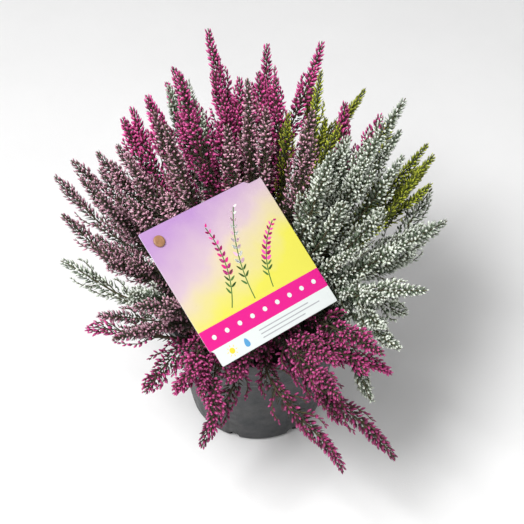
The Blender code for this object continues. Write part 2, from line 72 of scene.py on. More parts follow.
# Plant
SPIKES = 152
SPIKES_A_SPRAY = 4
GOLDEN_ANGLE = math.radians(137.508)
SOIL_SPREAD = 0.038
ROOT_DEPTH = 0.009
STRAIGHT = 0.004
BEND_LENGTH = 0.050
FIRST_LEAN = 0.25
MOST_LEAN = math.radians(47)
LIFT = math.radians(15)
DROOP_LEAN = math.radians(30)
SAG = math.radians(26)
CROWDING = 0.30
CENTRE_LENGTH = 0.166
EDGE_LENGTH = 0.134
DROOP_LENGTH = 0.014
LENGTH_JITTER = 0.016
SIDE_LENGTH = 0.87
SIDE_FORK = 0.038
SIDE_BLEND = 0.027
SIDE_FLORETS = 0.062
MAIN_FLORETS = 0.042
PATH_STEP = 0.0025
LEAST_SPIKE = 0.030
SWAY = math.radians(16)
LEAN_JITTER = math.radians(7)
SKIRT_SPIKES = 32
SKIRT_CENTRE = math.radians(-50)
SKIRT_WIDTH = math.radians(190)
SKIRT_RHO = (1.05, 1.15)
SKIRT_LEAN = math.radians(12)
SKIRT_SAG = math.radians(16)
SKIRT_SHORTER = 0.030
SHORTER = (1.0, 0.92, 0.84, 0.76, 0.68, 0.60)
SLIMMER = (1.0, 0.86, 0.72)
LEANED = (0.0, 7.0, 14.0)
TURNED = (0.0, 3.0, -3.0, 6.0, -6.0, 10.0, -10.0, 14.0, -14.0)
SEED = 36

# Stems and florets
STEM_RADIUS = 0.0016
TWIG_RADIUS = 0.0011
LEAF_RADIUS = 0.0046
LEAF_START = 0.012
TIP_RADIUS = 0.0005

# The way the front of the planting faces, and the label as it lies on the sprays
FRONT = math.radians(-57)
DROOP_CENTRE = math.radians(-44)
DROOP_WIDTH = math.radians(88)
VIEW_AZIMUTH = math.radians(33)
VIEW_ELEVATION = math.radians(45)
CARD_SIDE = 0.085
CARD_THICKNESS = 0.0008
CARD_OFFSET = (-0.009, 0.016, 0.098)
CARD_ALONG = (0.764, 0.415, -0.490)
CARD_DOWN = (0.525, -0.845, 0.102)
NOTCH = (0.011, 0.0022)
PEG_INSET = 0.0085
PEG_RADIUS = 0.0020
PEG_HEAD_RADIUS = 0.0034
PEG_HEAD_HEIGHT = 0.0012
PAD_RADIUS = 0.0042
PAD_THICKNESS = 0.0016
STICK_WIDTH = 0.005
STICK_THICKNESS = 0.0016
STICK_FOOT = (-0.008, -0.029)
STICK_DEPTH = 0.026
LABEL_SPOTS = 28
STICK_SPOTS = 60
CLEAR_OF_CARD = 0.0024
CLEAR_OF_STICK = 0.0040
CLEAR_OF_SPRAY = 0.0006

GIRTH = {"magenta": 0.0090, "mauve": 0.0082, "silver": 0.0094, "lime": 0.0064}
SIDE_GIRTH = 0.86

# Buds and leaves of each colour of heather. Lengths are in metres, and colours are linear.
# shoots: distance between side shoots of a spike; buds, axis_buds: distance between buds on a side shoot
# and on the spike's own axis; size: a bud's length and half width; spread: how far buds lean out, in degrees
# shade is painted shade: the dark colour at a bud's foot, where the buds crowd. tip is a bud's paler tip,
# partly its own colour and partly painted highlight. leaf is dark green, set darker still as painted shade
# inside the plant.
STYLE = {
    "magenta": {
        "shoots": 0.0044,
        "buds": 0.00080,
        "axis_buds": 0.00062,
        "size": (0.0038, 0.00095),
        "spread": 50.0,
        "bud": (0.42, 0.012, 0.150),
        "tip": (0.86, 0.17, 0.46),
        "shade": (0.10, 0.004, 0.035),
        "leaf": (0.020, 0.030, 0.010),
        "leaf_tip": (0.085, 0.020, 0.030),
    },
    "mauve": {
        "shoots": 0.0052,
        "buds": 0.00098,
        "axis_buds": 0.00075,
        "size": (0.0035, 0.00080),
        "spread": 54.0,
        "bud": (0.36, 0.130, 0.215),
        "tip": (0.83, 0.52, 0.60),
        "shade": (0.080, 0.022, 0.040),
        "leaf": (0.022, 0.034, 0.012),
        "leaf_tip": (0.085, 0.060, 0.045),
    },
    "silver": {
        "shoots": 0.0042,
        "buds": 0.00080,
        "axis_buds": 0.00062,
        "size": (0.0034, 0.00090),
        "spread": 52.0,
        "bud": (0.46, 0.52, 0.42),
        "tip": (0.86, 0.89, 0.82),
        "shade": (0.10, 0.135, 0.085),
        "leaf": (0.055, 0.085, 0.045),
        "leaf_tip": (0.24, 0.31, 0.20),
    },
    "lime": {
        "shoots": 0.0070,
        "buds": 0.00085,
        "axis_buds": 0.00060,
        "size": (0.0034, 0.00062),
        "spread": 38.0,
        "bud": (0.33, 0.38, 0.018),
        "tip": (0.70, 0.76, 0.075),
        "shade": (0.060, 0.085, 0.008),
        "leaf": (0.035, 0.060, 0.008),
        "leaf_tip": (0.16, 0.20, 0.015),
    },
}
# How far side shoots stand off a spike's axis, as a part of its solid's radius
FULLNESS = 1.30
BARK = (0.060, 0.035, 0.022)
GREEN_STEM = (0.075, 0.070, 0.028)

# Leaves as length and half width, and the distance from one to the next
STEM_LEAF = (0.0046, 0.00062)
FLOWER_LEAF = (0.0042, 0.00060)
SHOOT_LEAF = (0.0038, 0.00060)
LEAF_STEP = 0.00062
FLOWER_LEAF_STEP = 0.00042
LEAFY_SHOOTS = 7

# Card
CARD_BEVEL = 0.00015
PEG_PLAY = 0.0004
STICK_BROWN = (0.30, 0.15, 0.07)

# Print on the card: how far flat shapes lie over it, and buds over their stems, so that none flickers;
# where the band starts and ends down the card; and the sizes of its shapes
INK_LIFT = 0.00004
BUD_LIFT = 0.00007
BAND = (0.74, 0.88)
DOTS = 9
DOT_RADIUS = 0.0014
SUN_RADIUS = 0.0017
SUN_RAYS = 8
RAY_DISTANCE = 0.0029
RAY_SIZE = (0.0007, 0.0002)
DROP_SIZE = (0.0026, 0.0016)
RULE_LENGTHS = (0.42, 0.50, 0.36)
RULE_PITCH = 0.0023
RULE_HALF = 0.0003
SPRIG_HALF = 0.00032
CARD_LILAC = (0.42, 0.24, 0.50)
CARD_CREAM = (0.62, 0.50, 0.50)
CARD_YELLOW = (0.68, 0.64, 0.08)
CARD_MAGENTA = (0.66, 0.002, 0.22)
CARD_WHITE = (0.66, 0.70, 0.69)
CARD_YELLOW_INK = (0.85, 0.60, 0.03)
PRINT_GREEN = (0.06, 0.16, 0.03)
PRINT_PINKS = ((0.62, 0.01, 0.20), (0.80, 0.10, 0.38), (0.45, 0.01, 0.18))
PRINT_WHITES = ((0.86, 0.86, 0.82), (0.70, 0.74, 0.68), (0.80, 0.45, 0.60))
PRINT_BLUE = (0.08, 0.30, 0.55)
PRINT_GREY = (0.35, 0.36, 0.38)

# Sprigs on the card: foot and tip as parts of its side from its middle, bow, number of buds, and colours
SPRIGS = (
    ((-0.20, 0.20), (-0.06, -0.34), 0.10, 34, PRINT_PINKS),
    ((-0.02, 0.22), (0.20, -0.38), -0.07, 40, PRINT_WHITES),
    ((0.14, 0.21), (0.40, -0.18), -0.10, 30, PRINT_PINKS),
)

# What lies on the soil, with its colours, and the sides of the turned pot
CRUMBS = 700
FIBRES = 130
FALLEN = 18
SOIL_DARK = (0.010, 0.006, 0.004)
SOIL_LIGHT = (0.060, 0.036, 0.022)
FIBRE = (0.09, 0.06, 0.035)
POT_STEPS = 120

# Lights as azimuth, elevation, distance, size and power; the stage, and the camera
LIGHT_TARGET = (0.0, 0.0, 0.12)
KEY_LIGHT = (-8.0, 58.0, 1.3, 0.50, 21.0)
FILL_LIGHT = (95.0, 30.0, 1.6, 1.2, 4.0)
WORLD_STRENGTH = 0.40
STAGE_FLAT = 2.2
CAMERA_TARGET = (0.004, 0.0, 0.122)
CAMERA_DISTANCE = 0.88


# Layout of the planting: these functions have no Blender objects in them


def smooth(x):
    x = min(max(x, 0.0), 1.0)
    return x * x * (3.0 - 2.0 * x)


def facing(azimuth, centre, width):
    """1 where azimuth points at centre, falling smoothly to 0 at width on either side."""
    turn = (azimuth - centre + math.pi) % math.tau - math.pi
    return smooth(1.0 - abs(turn) / width)


def soil_height(radius):
    return SOIL_EDGE_HEIGHT + SOIL_MOUND * (1.0 - (radius / POT_TOP_RADIUS) ** 2)


def flow_line(rho, azimuth, length, leaned=0.0, sway=0.0):
    """Centre line of a spike from ROOT_DEPTH under the soil to its tip, one row of x, y, z a step.

    rho is 0 at the middle of the pot, 1 at its outer sprays and more on the low skirt at the front.
    sway is the angle about the pot's axis by which the tip turns aside.
    """
    droop = facing(azimuth, DROOP_CENTRE, DROOP_WIDTH) * smooth((rho - 0.50) / 0.4)
    skirt = smooth((rho - 1.0) / (SKIRT_RHO[1] - 1.0)) * facing(azimuth, SKIRT_CENTRE, SKIRT_WIDTH / 2)
    hanging = max(droop, skirt)
    lean = MOST_LEAN * min(rho, 1.0) ** 0.95 + DROOP_LEAN * hanging + SKIRT_LEAN * skirt + leaned
    tip_lean = lean - LIFT * rho * (1.0 - hanging) + SAG * droop + SKIRT_SAG * skirt
    radius = SOIL_SPREAD * rho
    height = soil_height(radius)
    start = -ROOT_DEPTH
    radius += start * math.sin(FIRST_LEAN * lean)
    height += start * math.cos(FIRST_LEAN * lean)
    line = [(radius, height, 0.0)]
    steps = round((length + ROOT_DEPTH) / PATH_STEP)
    for step in range(steps):
        along = start + (step + 0.5) * PATH_STEP
        bend = smooth((along - STRAIGHT) / BEND_LENGTH)
        lift = smooth((along - BEND_LENGTH) / (length - BEND_LENGTH))
        angle = lean * (FIRST_LEAN + (1.0 - FIRST_LEAN) * bend) + (tip_lean - lean) * lift
        radius += PATH_STEP * math.sin(angle)
        height += PATH_STEP * math.cos(angle)
        line.append((radius, height, sway * lift))
    return np.array([(r * math.cos(azimuth + turn), r * math.sin(azimuth + turn), z) for r, z, turn in line])


def spike_length(rho, azimuth, draw):
    droop = facing(azimuth, DROOP_CENTRE, DROOP_WIDTH) * rho
    length = CENTRE_LENGTH + (EDGE_LENGTH - CENTRE_LENGTH) * rho - DROOP_LENGTH * droop
    if rho > 1.0:
        length -= SKIRT_SHORTER
    return length + draw.uniform(-LENGTH_JITTER, LENGTH_JITTER)


def own_bend(draw):
    """A spike's own lean and sway, by which it differs from its neighbours."""
    return draw.uniform(-LEAN_JITTER, LEAN_JITTER), draw.uniform(-SWAY, SWAY)


def along_line(line):
    """Distance of each point of a line from the soil."""
    return np.arange(len(line)) * PATH_STEP - ROOT_DEPTH


def spike_radius(along, length, florets, girth):
    """Outer radius of a spike at a distance from the soil: stem, leaves, then florets to a slim tip."""
    if along < LEAF_START:
        return STEM_RADIUS
    if along < florets:
        return LEAF_RADIUS
    part = min((along - florets) / max(length - florets, PATH_STEP), 1.0)
    swell = 0.60 + 0.40 * smooth(part / 0.28)
    taper = 1.0 - 0.70 * part**3.4
    return max(girth * swell * taper, TIP_RADIUS)


def colour_of(rho, azimuth, draw):
    """Colour of a spray by where it stands: each side of the pot has one that prevails."""
    turn = math.degrees((azimuth - FRONT + math.pi) % math.tau - math.pi)
    if rho < 0.34:
        return draw.choice(["silver", "magenta", "mauve", "magenta"])
    if -38.0 < turn <= 38.0:
        return "magenta"
    if 38.0 < turn <= 74.0:
        return "silver"
    if 74.0 < turn <= 108.0:
        return draw.choice(["silver", "lime", "silver"])
    if 108.0 < turn <= 150.0:
        return draw.choice(["magenta", "lime", "magenta", "silver"])
    if turn > 150.0 or turn <= -158.0:
        return draw.choice(["magenta", "silver", "magenta"])
    if turn <= -112.0:
        return draw.choice(["silver", "lime", "magenta", "silver"])
    return "mauve" if draw.random() < 0.85 else "silver"


def view_axes():
    """Right, up and towards-the-viewer directions of the view that the label is turned to."""
    turn, rise = VIEW_AZIMUTH, VIEW_ELEVATION
    right = Vector((math.cos(turn), math.sin(turn), 0.0))
    near = Vector((math.sin(turn) * math.cos(rise), -math.cos(turn) * math.cos(rise), math.sin(rise)))
    return right, near.cross(right), near


def in_view(parts):
    right, up, near = view_axes()
    return parts[0] * right + parts[1] * up + parts[2] * near


def card_frame():
    """Centre of the label card and its unit directions: along one edge, down the next, and its face."""
    centre = Vector((0.0, 0.0, POT_HEIGHT)) + in_view(CARD_OFFSET)
    along = in_view(CARD_ALONG).normalized()
    face = in_view(CARD_DOWN).cross(along).normalized()
    down = along.cross(face).normalized()
    return centre, along, down, face


def peg_point():
    """Middle of the card's hole, near the corner where the stick holds it."""
    centre, along, down, _ = card_frame()
    half = CARD_SIDE / 2 - PEG_INSET
    return centre - half * along - half * down


def stick_ends():
    """Foot of the stick in the soil and its head under the card."""
    head = peg_point() - (CARD_THICKNESS / 2 + GAP + PAD_THICKNESS) * card_frame()[3]
    foot = Vector((*STICK_FOOT, soil_height(Vector(STICK_FOOT).length)))
    return foot + (foot - head).normalized() * STICK_DEPTH, head


def label_points():
    """Points over the card and along its stick, and how near the surface of a spike may come to each."""
    centre, along, down, _ = card_frame()
    foot, head = stick_ends()
    spots = [CARD_SIDE * (number / LABEL_SPOTS - 0.5) for number in range(LABEL_SPOTS + 1)]
    card = [centre + a * along + b * down for a in spots for b in spots]
    stick = [foot.lerp(head, number / STICK_SPOTS) for number in range(STICK_SPOTS + 1)]
    keep = [CLEAR_OF_CARD] * len(card) + [CLEAR_OF_STICK] * len(stick)
    return np.array([tuple(point) for point in card + stick]), np.array(keep)


def gap_between(line, radii, points, radius):
    """Least clear distance between balls along a line, at every second step, and balls at other points."""
    if not len(points):
        return math.inf
    line, radii = line[::2], radii[::2]
    squares = (line**2).sum(1)[:, None] + (points**2).sum(1) - 2.0 * line @ points.T
    apart = np.sqrt(np.maximum(squares, 0.0))
    return float((apart - radii[:, None] - radius).min())


def spike_line(rho, azimuth, length, leaned, sway, stem):
    """A spike's centre line, or a side spike's, which leaves the stem's line for its own."""
    line = flow_line(rho, azimuth, length, leaned, sway)
    if stem is None:
        return line
    stem = stem[: len(line)]
    line = line[: len(stem)]
    away = np.array([smooth((s - SIDE_FORK) / SIDE_BLEND) for s in along_line(line)])[:, None]
    line = stem + (line - stem) * away
    return line[along_line(line) >= SIDE_FORK]


def radii_of(line, first, florets, girth):
    length = first + (len(line) - 1) * PATH_STEP
    return np.array([spike_radius(first + i * PATH_STEP, length, florets, girth) for i in range(len(line))])


def first_clear(rho, azimuth, length, own, stem, girth, others):
    """The first spike that is clear of all that is placed, out of a few that differ a little.

    own is the spike's own lean and sway, and stem is the line that it leaves if it is a side spike.
    """
    florets = MAIN_FLORETS if stem is None else SIDE_FLORETS
    first = -ROOT_DEPTH if stem is None else SIDE_FORK
    lean, sway = own
    for shorter, slimmer, leaned, turn in itertools.product(SHORTER, SLIMMER, LEANED, TURNED):
        turned_to = azimuth + math.radians(turn)
        line = spike_line(rho, turned_to, length * shorter, lean + math.radians(leaned), sway, stem)
        if first + len(line) * PATH_STEP < florets + LEAST_SPIKE:
            continue
        radii = radii_of(line, first, florets, girth * slimmer)
        if all(gap_between(line, radii, *other) > 0.0 for other in others):
            return {"line": line, "radii": radii, "girth": girth * slimmer}
    return None


def spike_spots():
    """Where spikes stand, as rho, azimuth, x and y: the low skirt at the front, then the whole pot."""
    spots = []
    for number in range(SKIRT_SPIKES):
        azimuth = SKIRT_CENTRE + SKIRT_WIDTH * ((number + 0.5) / SKIRT_SPIKES - 0.5)
        spots.append((SKIRT_RHO[number % 2], azimuth))
    for number in range(SPIKES):
        rho = math.sqrt((number + 0.5) / SPIKES)
        azimuth = number * GOLDEN_ANGLE % math.tau
        spots.append((rho, azimuth - CROWDING * rho * math.sin(azimuth - FRONT)))
    return [(rho, azimuth, rho * math.cos(azimuth), rho * math.sin(azimuth)) for rho, azimuth in spots]


def planting():
    """Every spray, as its colour and its spikes, each a centre line with its outer radii."""
    draw = random.Random(SEED)
    spots = spike_spots()
    stems = spots[1::SPIKES_A_SPRAY]
    sides = [spot for number, spot in enumerate(spots) if number % SPIKES_A_SPRAY != 1]
    sprays = []
    for rho, azimuth, x, y in stems:
        colour = colour_of(rho, azimuth, draw)
        length = spike_length(rho, azimuth, draw)
        sprays.append({"colour": colour, "spot": (rho, azimuth, x, y), "length": length, "spikes": []})
    label = label_points()
    for spray in sprays:
        rho, azimuth, _, _ = spray["spot"]
        girth = GIRTH[spray["colour"]]
        others = (label, placed(sprays))
        found = first_clear(rho, azimuth, spray["length"], own_bend(draw), None, girth, others)
        if found:
            spray["spikes"].append(found)
    sprays = [spray for spray in sprays if spray["spikes"]]
    for rho, azimuth, x, y in sides:
        spray = min(sprays, key=lambda s: (s["spot"][2] - x) ** 2 + (s["spot"][3] - y) ** 2)
        length = SIDE_LENGTH * spike_length(rho, azimuth, draw)
        others = (label, placed(other for other in sprays if other is not spray))
        stem = spray["spikes"][0]["line"]
        girth = SIDE_GIRTH * GIRTH[spray["colour"]]
        found = first_clear(rho, azimuth, length, own_bend(draw), stem, girth, others)
        if found:
            spray["spikes"].append(found)
    for colour in GIRTH:
        members = [spray for spray in sprays if spray["colour"] == colour]
        for number, spray in enumerate(members, start=1):
            spray["name"] = f"{colour}_spray_{number:02d}"
    return sprays


def placed(sprays):
    """Points of every spike that some sprays have so far, and how near another's surface may come."""
    spikes = [spike for spray in sprays for spike in spray["spikes"]]
    if not spikes:
        return np.empty((0, 3)), np.empty(0)
    points = np.concatenate([spike["line"][::2] for spike in spikes])
    return points, np.concatenate([spike["radii"][::2] for spike in spikes]) + CLEAR_OF_SPRAY


def wall_radius(height):
    """Outside of the pot's tapered wall, which steps in below its shoulder."""
    taper = POT_BASE_RADIUS + (POT_TOP_RADIUS - POT_BASE_RADIUS) * height / POT_HEIGHT
    return taper - SHOULDER_STEP * (1.0 - smooth((height - SHOULDER_HEIGHT) / SHOULDER_RISE))


def pot_inside(gap):
    """The hollow of the pot from the middle of its floor up, drawn in by a gap."""
    above = SHOULDER_HEIGHT + SHOULDER_RISE
    inset = POT_WALL + gap
    return [
        (0.0, POT_FLOOR + gap),
        (wall_radius(0.0) - inset - POT_EDGE, POT_FLOOR + gap),
        (wall_radius(POT_EDGE) - inset, POT_FLOOR + POT_EDGE + gap),
        (wall_radius(SHOULDER_HEIGHT) - inset, SHOULDER_HEIGHT),
        (wall_radius(above) - inset, above),
    ]


def card_outline():
    """Corners of the label round from the held one, with a small step at the two beside it."""
    half = CARD_SIDE / 2
    wide, deep = NOTCH
    return [
        (-half, -half),
        (half - wide, -half),
        (half - wide + deep, -half + deep),
        (half, -half + deep),
        (half, half),
        (-half + deep, half),
        (-half + deep, half - wide + deep),
        (-half, half - wide),
    ]


# Meshes as arrays


def unit(rows):
    return rows / np.maximum(np.linalg.norm(rows, axis=-1, keepdims=True), 1e-9)


def across(way):
    """A unit direction across each row of way."""
    helper = np.where(np.abs(way[..., 2:3]) < 0.9, np.array([0.0, 0.0, 1.0]), np.array([1.0, 0.0, 0.0]))
    return unit(np.cross(way, helper))


def frames_along(line):
    """Tangent, and two directions across it that don't twist, at each point of a line."""
    tangent = unit(np.gradient(line, axis=0))
    normal = np.empty_like(tangent)
    normal[0] = across(tangent[:1])[0]
    for i in range(1, len(line)):
        normal[i] = normal[i - 1] - tangent[i] * (normal[i - 1] @ tangent[i])
        normal[i] /= np.linalg.norm(normal[i])
    return tangent, normal, np.cross(tangent, normal)


def at(rows, spots):
    """Rows read at fractional places."""
    spots = np.clip(spots, 0.0, len(rows) - 1.001)
    low = spots.astype(int)
    part = (spots - low)[:, None]
    return rows[low] * (1.0 - part) + rows[low + 1] * part


def between_rings(rings, sides):
    """Triangles of the bands between rings of points, each ring with the next."""
    side = np.arange(sides)
    after = (side + 1) % sides
    triangles = []
    for low in range(0, (rings - 1) * sides, sides):
        high = low + sides
        triangles.append(np.stack([low + side, low + after, high + after], axis=1))
        triangles.append(np.stack([low + side, high + after, high + side], axis=1))
    return triangles


class Growth:
    """Triangles of one piece, with a colour for each vertex and a material for each triangle."""

    def __init__(self):
        self.vertices, self.triangles, self.colours, self.materials = [], [], [], []
        self.count = 0

    def add(self, vertices, triangles, colours, material):
        self.vertices.append(vertices)
        self.triangles.append(triangles + self.count)
        self.colours.append(colours)
        self.materials.append(np.full(len(triangles), material))
        self.count += len(vertices)

    def copies(self, template, spots, ways, lengths, widths, colours, material):
        """A template at every spot, its z along ways, in shares of the base, body and tip colours."""
        shape, triangles, shares = template
        side = across(ways)
        other = np.cross(ways, side)
        x, y, z = shape.T[:, None, :, None]
        wide, long = widths[:, None, None], lengths[:, None, None]
        sideways = (side[:, None] * x + other[:, None] * y) * wide
        points = spots[:, None] + sideways + ways[:, None] * z * long
        tinted = np.einsum("kc,nci->nki", shares, colours)
        steps = np.arange(len(spots))[:, None, None] * len(shape)
        self.add(points.reshape(-1, 3), (triangles + steps).reshape(-1, 3), tinted.reshape(-1, 3), material)

    def tube(self, line, radii, sides, colours, material):
        """A tapered tube along a line, closed at its last point."""
        _, normal, other = frames_along(line)
        turns = np.arange(sides) * math.tau / sides
        ring = normal[:, None] * np.cos(turns)[:, None] + other[:, None] * np.sin(turns)[:, None]
        vertices = line[:, None] + ring * radii[:, None, None]
        rings = np.arange(len(line) - 1)[:, None] * sides
        side = np.arange(sides)
        a, b = rings + side, rings + (side + 1) % sides
        quads = np.stack([a, b, b + sides, a + sides], axis=-1).reshape(-1, 4)
        last = (len(line) - 1) * sides
        cap = np.stack([np.full(sides - 2, last), last + side[1:-1], last + side[2:]], axis=1)
        triangles = np.concatenate([quads[:, [0, 1, 2]], quads[:, [0, 2, 3]], cap])
        self.add(vertices.reshape(-1, 3), triangles, np.repeat(colours, sides, axis=0), material)

    def stem(self, line, thick, thin, colour):
        """A three-sided tube of one colour that tapers evenly."""
        radii = np.linspace(thick, thin, len(line))
        self.tube(line, radii, 3, np.tile(colour, (len(line), 1)), 0)

    def mesh(self, name, materials):
        vertices = np.concatenate(self.vertices)
        triangles = np.concatenate(self.triangles)
        colours = np.concatenate(self.colours)
        made = bpy.data.meshes.new(name)
        made.vertices.add(len(vertices))
        made.vertices.foreach_set("co", vertices.astype(np.float32).ravel())
        made.loops.add(triangles.size)
        made.loops.foreach_set("vertex_index", triangles.astype(np.int32).ravel())
        made.polygons.add(len(triangles))
        made.polygons.foreach_set("loop_start", np.arange(0, triangles.size, 3, dtype=np.int32))
        made.polygons.foreach_set("material_index", np.concatenate(self.materials).astype(np.int32))
        made.update(calc_edges=True)
        made.shade_smooth()
        tint = made.color_attributes.new("Tint", "FLOAT_COLOR", "POINT")
        rgba = np.concatenate([np.clip(colours, 0.0, 1.0), np.ones((len(colours), 1))], axis=1)
        tint.data.foreach_set("color", rgba.astype(np.float32).ravel())
        for material in materials:
            made.materials.append(material)
        return made


def spindle(rings, sides, tip_shares, ridge=1.0):
    """A pointed template of (height, radius, colour shares) rings. Ridge draws in every second corner."""
    turns = np.arange(sides) * math.tau / sides
    corners, shares = [], []
    for height, radius, ring_shares in rings:
        for number, turn in enumerate(turns):
            reach = radius * (ridge if number % 2 else 1.0)
            corners.append((reach * math.cos(turn), reach * math.sin(turn), height))
            shares.append(ring_shares)
    corners.append((0.0, 0.0, 1.0))
    shares.append(tip_shares)
    triangles = between_rings(len(rings), sides)
    last = (len(rings) - 1) * sides + np.arange(sides)
    after = np.roll(last, -1)
    triangles.append(np.stack([last, after, np.full(sides, len(corners) - 1)], axis=1))
    return np.array(corners), np.concatenate(triangles), np.array(shares)


# A bud swells above a dark foot of painted shade and has a pale tip, partly its own colour and partly
# painted highlight; a leaf is a slim needle
BUD = spindle(
    [(0.0, 0.45, (0.9, 0.1, 0.0)), (0.40, 1.0, (0.1, 0.8, 0.1)), (0.76, 0.66, (0.0, 0.45, 0.55))],
    4,
    (0.0, 0.1, 0.9),
)
LEAF = spindle([(0.0, 1.0, (0.6, 0.4, 0.0))], 3, (0.0, 0.3, 0.7))
CRUMB = spindle(
    [(0.0, 0.5, (1.0, 0.0, 0.0)), (0.35, 1.0, (0.3, 0.7, 0.0)), (0.8, 0.7, (0.2, 0.3, 0.5))],
    5,
    (0.0, 0.0, 1.0),
    0.7,
)


def bud_shades(style):
    return np.array([style["shade"], style["bud"], style["tip"]])


def leaf_shades(style):
    return np.array([style["leaf"], style["leaf"], style["leaf_tip"]])


def spike_growth(growth, spike, first, florets, stem_radius, style, tone_and_shade, draw):
    """Dresses one spike: its axis, leaves below the flowers, side shoots, and the buds on all of them."""
    line = spike["line"]
    length = first + (len(line) - 1) * PATH_STEP
    frames = frames_along(line)
    girth = spike["girth"]
    reach = length - florets
    stops = np.append(np.arange(0.0, len(line) - 1.5, 2.0), len(line) - 1.001)
    along = first + stops * PATH_STEP
    part = np.clip((along - max(first, 0.0)) / length, 0.0, 1.0)
    flowering = np.clip((along - florets) / reach, 0.0, 1.0)
    slimmed = 0.70 * np.minimum(flowering * 4.0, 1.0) * (0.6 + 0.4 * flowering)
    radii = stem_radius * (1.0 - 0.35 * part) * (1.0 - slimmed)
    woody = np.array(BARK) * (1.0 - part[:, None]) + np.array(GREEN_STEM) * part[:, None]
    growth.tube(at(line, stops), radii, 6 if first < 0.0 else 5, woody, 0)

    bud_colours = bud_shades(style) * tone_and_shade
    leaf_colours = leaf_shades(style)

    # Leaves on the stem under the flowers
    spots = np.arange(max(first, LEAF_START - 0.004), florets + 0.012, LEAF_STEP)
    grow_ring(growth, line, frames, first, spots, leaf_colours, LEAF, STEM_LEAF, 46.0, 0.0006, draw, 1)

    # Leaves among the flowers, whose dark colour is partly painted shade between the buds
    spots = np.arange(florets, length - 0.002, FLOWER_LEAF_STEP)
    grow_ring(
        growth, line, frames, first, spots, leaf_colours, LEAF, FLOWER_LEAF, 50.0,
        0.0006, draw, 1, envelope=(length, florets, girth),
    )

    # Side shoots, which thicken the spike, and their buds
    shoot_spots = np.arange(florets - 0.006, length - 0.26 * reach, style["shoots"])
    for number, spot in enumerate(shoot_spots):
        turn = number * GOLDEN_ANGLE + draw.uniform(-0.3, 0.3)
        span = draw.uniform(0.012, 0.020)
        stand_off = FULLNESS * draw.uniform(0.80, 1.20)
        shoot = side_shoot(line, frames, first, spot, span, turn, stand_off, length, florets, girth)
        shoot_frames = frames_along(shoot)
        growth.stem(shoot, 0.00045, 0.00025, GREEN_STEM)
        step = span / (len(shoot) - 1)
        buds = np.arange(0.24 * span, span, style["buds"])
        grow_ring(
            growth, shoot, shoot_frames, 0.0, buds, bud_colours, BUD, style["size"], style["spread"],
            0.0005, draw, 2, step=step, away=line_at(line, first, spot + span / 2),
        )

    # Buds on the axis, close together where no shoots hide them
    spots = np.arange(florets, length - 0.0012, style["axis_buds"])
    hidden = spots < length - 0.40 * reach
    spots = spots[~hidden | (np.arange(len(spots)) % 3 == 0)]
    grow_ring(
        growth, line, frames, first, spots, bud_colours, BUD, style["size"], style["spread"],
        0.0009, draw, 2, envelope=(length, florets, girth),
    )


def line_at(line, first, along):
    return at(line, np.array([(along - first) / PATH_STEP]))[0]


def side_shoot(line, frames, first, spot, span, turn, stand_off, length, florets, girth):
    """A short shoot that leaves the spike's axis and rises beside it."""
    part = np.linspace(0.0, 1.0, 5)
    along = np.minimum(spot + span * part, length)
    places = (along - first) / PATH_STEP
    centre = at(line, places)
    outward = at(frames[1], places) * math.cos(turn) + at(frames[2], places) * math.sin(turn)
    reach = np.array([spike_radius(max(s, florets), length, florets, girth) for s in along])
    away = np.clip(stand_off * reach - 0.0024, 0.0004, None) * (1.0 - (1.0 - part) ** 2.2)
    return centre + unit(outward) * away[:, None]


def grow_ring(
    growth, line, frames, first, spots, colours, template, size, spread, stand_off, draw, material,
    step=PATH_STEP, away=None, envelope=None,
):
    """Buds or leaves round a line at the given distances, each turned by the golden angle from the last."""
    if not len(spots):
        return
    places = (spots - first) / step
    centre, tangent = at(line, places), unit(at(frames[0], places))
    turns = np.arange(len(spots)) * GOLDEN_ANGLE + draw.uniform(0.0, math.tau)
    outward = at(frames[1], places) * np.cos(turns)[:, None] + at(frames[2], places) * np.sin(turns)[:, None]
    outward = unit(outward)
    lengths = size[0] * draw.uniform(0.80, 1.15, len(spots))
    widths = size[1] * draw.uniform(0.85, 1.15, len(spots))
    near_tip = np.clip((spots[-1] - spots) / 0.012, 0.0, 1.0)
    lengths = lengths * (0.62 + 0.38 * near_tip)
    widths = widths * (0.62 + 0.38 * near_tip)
    lean = np.radians(spread) * (0.35 + 0.65 * near_tip) * draw.uniform(0.8, 1.2, len(spots))
    ways = unit(tangent * np.cos(lean)[:, None] + outward * np.sin(lean)[:, None])
    centre = centre + outward * stand_off
    if envelope:
        outer = np.array([spike_radius(s, *envelope) for s in spots])
        spare = np.clip(outer - stand_off - lengths * np.sin(lean) - 0.001, 0.0, None)
        centre = centre + outward * spare[:, None] * 0.5
    keep = np.ones(len(spots), bool)
    if away is not None:
        keep = ((centre - away) * outward).sum(1) > -0.0012
    light = draw.uniform(0.62, 1.25, len(spots))[:, None, None]
    tinted = colours[None] * light
    growth.copies(template, centre[keep], ways[keep], lengths[keep], widths[keep], tinted[keep], material)


